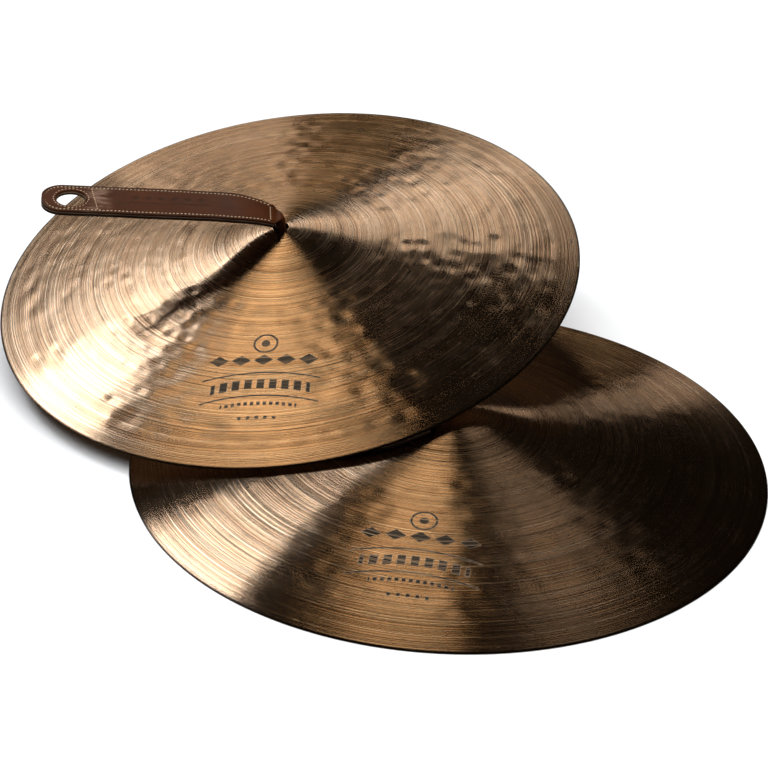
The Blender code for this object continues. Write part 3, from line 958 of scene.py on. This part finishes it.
def strap(side, place, frame_matrix, neck_length, thong_drop, wave, materials, lump):
    """The sewn strap's pieces, in the route's frame. The face runs on into the thong.

    Lump is the share of the neck's extra thickness that lies under the leather.
    """
    pieces = {}
    pad_low = BACK_THICKNESS + GAP
    face_low = pad_low + PAD_THICKNESS + GAP
    face_high = face_low + FACE_THICKNESS

    def bulk(distance):
        """How much thicker the neck is, where its tails are bundled over the hole."""
        travelled = distance + neck_length
        above = eased(-distance / (0.7 * neck_length)) * eased((0.006 - travelled) / 0.003)
        return NECK_BULK * above * (1 - 0.25 * eased(-travelled / 0.003))

    def low(distance):
        under = lump + (0.5 - lump) * eased((0.001 - distance - neck_length) / 0.002)
        return face_low * eased(distance / 0.008 + 1) - under * bulk(distance)

    def high(distance):
        rise = (face_high - NECK_THICKNESS) * eased(distance / 0.008 + 1)
        return NECK_THICKNESS + rise + 0.5 * bulk(distance)

    layers = (("back", 0.0, BACK_THICKNESS + 0.5 * GAP, "back"),
              ("pad", pad_low - 0.4 * GAP, pad_low + PAD_THICKNESS + 0.4 * GAP, "felt"))
    for layer, bottom, top, finish in layers:
        def half_width(distance, trim=PAD_TRIM if layer == "pad" else 0.0):
            return strap_half_width(distance) - trim

        mesh = slab(f"{side}_{layer}", 0.0, half_width, constant(bottom), constant(top),
                    flat_shape)
        mesh = cut_eye(mesh, bottom, top)
        lay_out(mesh, place, half_width, wave)
        pieces[layer] = add_piece(f"{side}_strap_{layer}_leather", mesh, materials[finish],
                                  frame_matrix)
    width = leather_half_width(neck_length)
    mesh = slab(f"{side}_face", -neck_length - thong_drop, width, low, high, face_shape)
    mesh = cut_eye(mesh, face_low, face_high)
    lay_out(mesh, place, width, wave)
    pieces["face"] = add_piece(f"{side}_strap_leather", mesh, materials["face"], frame_matrix)
    return pieces


def stitches(name, place, route, normal_lift, wave, matrix, material, closed=False):
    """A seam: one short bead of thread for each stitch along a route of (along, across)."""
    points = [Vector((along, across)) for along, across in route]
    if closed:
        points.append(points[0])
    lengths = [0.0]
    for first, second in zip(points, points[1:]):
        lengths.append(lengths[-1] + (second - first).length)
    count = int(lengths[-1] / STITCH_PITCH)
    xs = [point.x for point in points]
    ys = [point.y for point in points]
    shape = bmesh.new()

    def spot(run, lift):
        along = float(np.interp(run, lengths, xs))
        across = float(np.interp(run, lengths, ys))
        return place(along, across, lift + crinkle(along, across, wave))

    for index in range(count):
        middle = (index + 0.5) * lengths[-1] / count
        here = spot(middle, normal_lift)
        ahead = spot(min(middle + 0.001, lengths[-1]), normal_lift)
        back = spot(max(middle - 0.001, 0.0), normal_lift)
        up = (spot(middle, normal_lift + 0.001) - here).normalized()
        run = (ahead - back).normalized()
        across = up.cross(run).normalized()
        slant = (run + STITCH_SLANT * across).normalized()
        across = up.cross(slant).normalized()
        turn = Matrix((slant, across, up)).transposed().to_4x4()
        size = Matrix.Diagonal((*STITCH_SIZE, 1))
        bmesh.ops.create_uvsphere(shape, u_segments=8, v_segments=6, radius=1.0,
                                  matrix=Matrix.Translation(here) @ turn @ size)
    mesh = bpy.data.meshes.new(name)
    shape.to_mesh(mesh)
    shape.free()
    mesh.shade_smooth()
    return add_piece(name, mesh, material, matrix)


def edge_route():
    """Round the strap's edge, from one side of the narrow seam to the other."""
    turn = STRAP_LENGTH - END_CORNER
    along = [float(value) for value in np.linspace(STITCH_INSET, turn, 60)]
    inset = END_CORNER - STITCH_INSET
    route = [(value, strap_half_width(value) - STITCH_INSET) for value in along]
    for angle in np.linspace(86, 0, 16):
        bearing = math.radians(float(angle))
        across = STRAP_HALF_WIDTH - END_CORNER + inset * math.sin(bearing)
        route.append((turn + inset * math.cos(bearing), across))
    return route + [(value, -across) for value, across in reversed(route)]


def eye_route():
    centre = STRAP_LENGTH - EYE_FROM_END
    angles = np.linspace(0, 2 * math.pi, 48, endpoint=False)
    return [(centre + EYE_SEAM_RADIUS * math.cos(angle), EYE_SEAM_RADIUS * math.sin(angle))
            for angle in angles]


def seams(side, place, matrix, wave, material):
    """The strap's four seams, each replacing the CAD's run of thread."""
    lift = BACK_THICKNESS + PAD_THICKNESS + 2 * GAP + FACE_THICKNESS - 0.00012
    eye_cross = STRAP_LENGTH - EYE_CROSS_FROM_END
    half_seam = NECK_HALF_WIDTH - STITCH_INSET - 0.001
    half_cross = STRAP_HALF_WIDTH - STITCH_INSET - 0.001
    routes = {
        "edge": (edge_route(), False),
        "eye": (eye_route(), True),
        "eye_cross": ([(eye_cross + EYE_CROSS_SLANT, -half_cross),
                       (eye_cross - EYE_CROSS_SLANT, half_cross)], False),
        "neck_cross": ([(STITCH_INSET, -half_seam), (STITCH_INSET, half_seam)], False)}
    pieces = {}
    for run, (route, closed) in routes.items():
        pieces[run] = stitches(f"{side}_{run}_stitches", place, route, lift, wave, matrix, material,
                               closed)
        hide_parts(f"{side}_{run}_thread")
    return pieces


# ---- Inside the bell ----

def loft(name, sections):
    """A closed tube through rings of points, its ends filled."""
    points = [point for ring in sections for point in ring]
    mesh = mesh_from(name, points, capped_faces(len(sections), len(sections[0])))
    face_outwards(mesh)
    mesh.set_sharp_from_angle(angle=math.radians(60))
    return mesh


def tail(name, turn, middle, drop):
    """One tail of the knot: over its neighbour, then out and a little down."""
    route = [(-0.0085, -0.0028), (-0.0045, -0.0002), (0.0, 0.0016), (0.0045, 0.0020),
             (0.0090, 0.0008), (0.0140, -0.0006), (0.0200, -0.0012), (0.0262, -0.0016 - drop)]
    xs = [x for x, z in route]
    zs = [z for x, z in route]
    sections = []
    rotation = Matrix.Rotation(turn, 3, "Z")
    for x in np.linspace(xs[0], xs[-1], 40):
        z = float(np.interp(x, xs, zs)) * 0.8
        half = 0.0047 - 0.0008 * eased((x - 0.012) / 0.014)
        ring = []
        for angle in np.linspace(0, 2 * math.pi, 20, endpoint=False):
            flat_across = math.copysign(abs(math.cos(angle)) ** 0.45, math.cos(angle))
            flat_up = math.copysign(abs(math.sin(angle)) ** 0.45, math.sin(angle))
            point = Vector((x, 0.0044 + half * flat_across, middle + z + 0.0011 * flat_up))
            ring.append(tuple(rotation @ point))
        sections.append(ring)
    return loft(name, sections)


def knot(side, matrix, body, top, material):
    """Four flat tails folded over each other like a pinwheel, in one piece."""
    middle = top - KNOT_HEIGHT / 2
    joined = bmesh.new()
    for index in range(4):
        for layer, shift in (("over", 0.0021), ("under", -0.0021)):
            joined.from_mesh(tail(f"{side}_{layer}_{index}", index * math.pi / 2, middle - shift,
                                  0.0006 * index))
    mesh = bpy.data.meshes.new(f"{side}_knot_tails")
    joined.to_mesh(mesh)
    joined.free()
    mesh.shade_smooth()
    piece = add_piece(f"{side}_knot_tails", mesh, material, matrix)
    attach(piece, body)
    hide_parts(f"{side}_knot")


def washer(side, matrix, body, top, material):
    """A leather disc with rounded edges and a hole for the thong."""
    hole = HOLE_RADIUS + 0.0005
    low = top - WASHER_THICKNESS
    soft = 0.0006
    outline = [(hole + soft, top), (hole, top - soft), (hole, low + soft), (hole + soft, low),
               (WASHER_RADIUS - soft, low), (WASHER_RADIUS, low + soft),
               (WASHER_RADIUS, top - soft), (WASHER_RADIUS - soft, top)]
    count = 64
    points = []
    for radius, height in outline:
        for index in range(count):
            angle = 2 * math.pi * index / count
            uneven = 1 + 0.006 * math.sin(5 * angle + 0.7) if radius > 0.01 else 1.0
            reach = radius * uneven
            points.append((reach * math.cos(angle), reach * math.sin(angle), height))
    mesh = mesh_from(f"{side}_washer", points, grid_faces(len(outline), count, True, True))
    face_outwards(mesh)
    mesh.set_sharp_from_angle(angle=math.radians(50))
    piece = add_piece(f"{side}_leather_washer", mesh, material, matrix)
    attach(piece, body)
    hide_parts(f"{side}_knot_washer")


def bell_fixing(side, matrix, body, materials):
    ceiling = float(outer_height(WASHER_RADIUS) - wall_thickness(WASHER_RADIUS))
    washer_top = ceiling - GAP
    knot_top = washer_top - WASHER_THICKNESS - GAP
    washer(side, matrix, body, washer_top, materials["back"])
    knot(side, matrix, body, knot_top, materials["face_plain"])
    return knot_top


# ---- The pair ----

def joint(name):
    return next(row for row in frame["joints"] if row["name"] == name)


FLOOR_RADIUS = 9.0
FLOOR_DROP = 0.0002


def make_floor():
    mesh = bpy.data.meshes.new("floor")
    shape = bmesh.new()
    bmesh.ops.create_circle(shape, cap_ends=True, segments=64, radius=FLOOR_RADIUS)
    shape.to_mesh(mesh)
    shape.free()
    floor = add_piece("floor", mesh, floor_material())
    floor.location.z = -FLOOR_DROP
    floor.visible_glossy = False


make_camera()
lamps = make_lights()
make_world()
make_floor()

finishes = {
    "face": leather("strap_brown_leather", BROWN_DARK, BROWN_LIGHT, 0.36, emboss=True),
    "face_plain": leather("knot_brown_leather", BROWN_DARK, BROWN_LIGHT, 0.40),
    "back": leather("back_dark_leather", BACK_DARK, BACK_LIGHT, 0.5),
    "felt": fibre("pale_stiffener", FELT_DARK, FELT_LIGHT, 900.0),
    "thread": fibre("waxed_thread", THREAD_DARK, THREAD_LIGHT, 2500.0)}

low_corner, high_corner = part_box("lower_cymbal")
lower_middle = (Vector(low_corner) + Vector(high_corner)) / 2
lower_middle.z = 0
lower_matrix = Matrix.Translation(lower_middle)
swivel = joint("upper_strap_swivel")
upper_normal = Vector(swivel["axis"]).normalized()
lean = Vector((0, 0, 1)).rotation_difference(upper_normal)
upper_middle = Vector(swivel["pos_m"]) - UPPER_AXIS_PIVOT * upper_normal
upper_matrix = Matrix.Translation(upper_middle) @ lean.to_matrix().to_4x4()
hinge_place = Vector(joint("upper_strap_lift")["pos_m"])
heading_turn = Quaternion((0, 0, 1), UPPER_STRAP_HEADING)
hinge_matrix = Matrix.Translation(hinge_place) @ heading_turn.to_matrix().to_4x4()

plate("lower", 11, lower_matrix, LOWER_PRINT_TURN, LOWER_DENT)
plate("upper", 23, upper_matrix, UPPER_PRINT_TURN, UPPER_DENT)
lower_knot_top = bell_fixing("lower", lower_matrix, "lower_strap", finishes)
upper_knot_top = bell_fixing("upper", upper_matrix, "upper_thong", finishes)

bell_peak = float(outer_height(HOLE_RADIUS))
lower_drop = bell_peak - lower_knot_top + 0.002
route = lower_route()
pieces = strap("lower", route, lower_matrix, LOWER_NECK_LENGTH, lower_drop, LOWER_WAVE,
               finishes, 0.0)
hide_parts("lower_strap_face", "lower_strap_neck", "lower_thong")
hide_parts("lower_strap_back")
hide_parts("lower_strap_pad")
pieces.update(seams("lower", route, lower_matrix, LOWER_WAVE, finishes["thread"]))
for piece in pieces.values():
    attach(piece, "lower_strap")

axis_there = heading_turn.inverted() @ upper_normal
hinge_height = (hinge_place - upper_middle).length
upper_drop = hinge_height - upper_knot_top + 0.002
route = upper_route(axis_there)
upper_pieces = strap("upper", route, hinge_matrix, UPPER_NECK_LENGTH, upper_drop, UPPER_WAVE,
                     finishes, 0.5)
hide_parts("upper_strap_face", "upper_strap_neck", "upper_thong")
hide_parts("upper_strap_back")
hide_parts("upper_strap_pad")
upper_seams = seams("upper", route, hinge_matrix, UPPER_WAVE, finishes["thread"])
for piece in (upper_pieces["back"], upper_pieces["pad"], *upper_seams.values()):
    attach(piece, "upper_strap")
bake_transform(upper_pieces["face"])

shown = [thing for thing in bpy.data.objects if thing.type == "MESH" and "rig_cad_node" not in thing]
upper_things = [thing for thing in shown if thing.name.startswith("upper")]
other_things = [thing for thing in shown if thing not in upper_things]
for side, reached in (("upper", upper_things), ("lower", other_things)):
    for lamp in lamps[side]:
        light_only(lamp, reached)
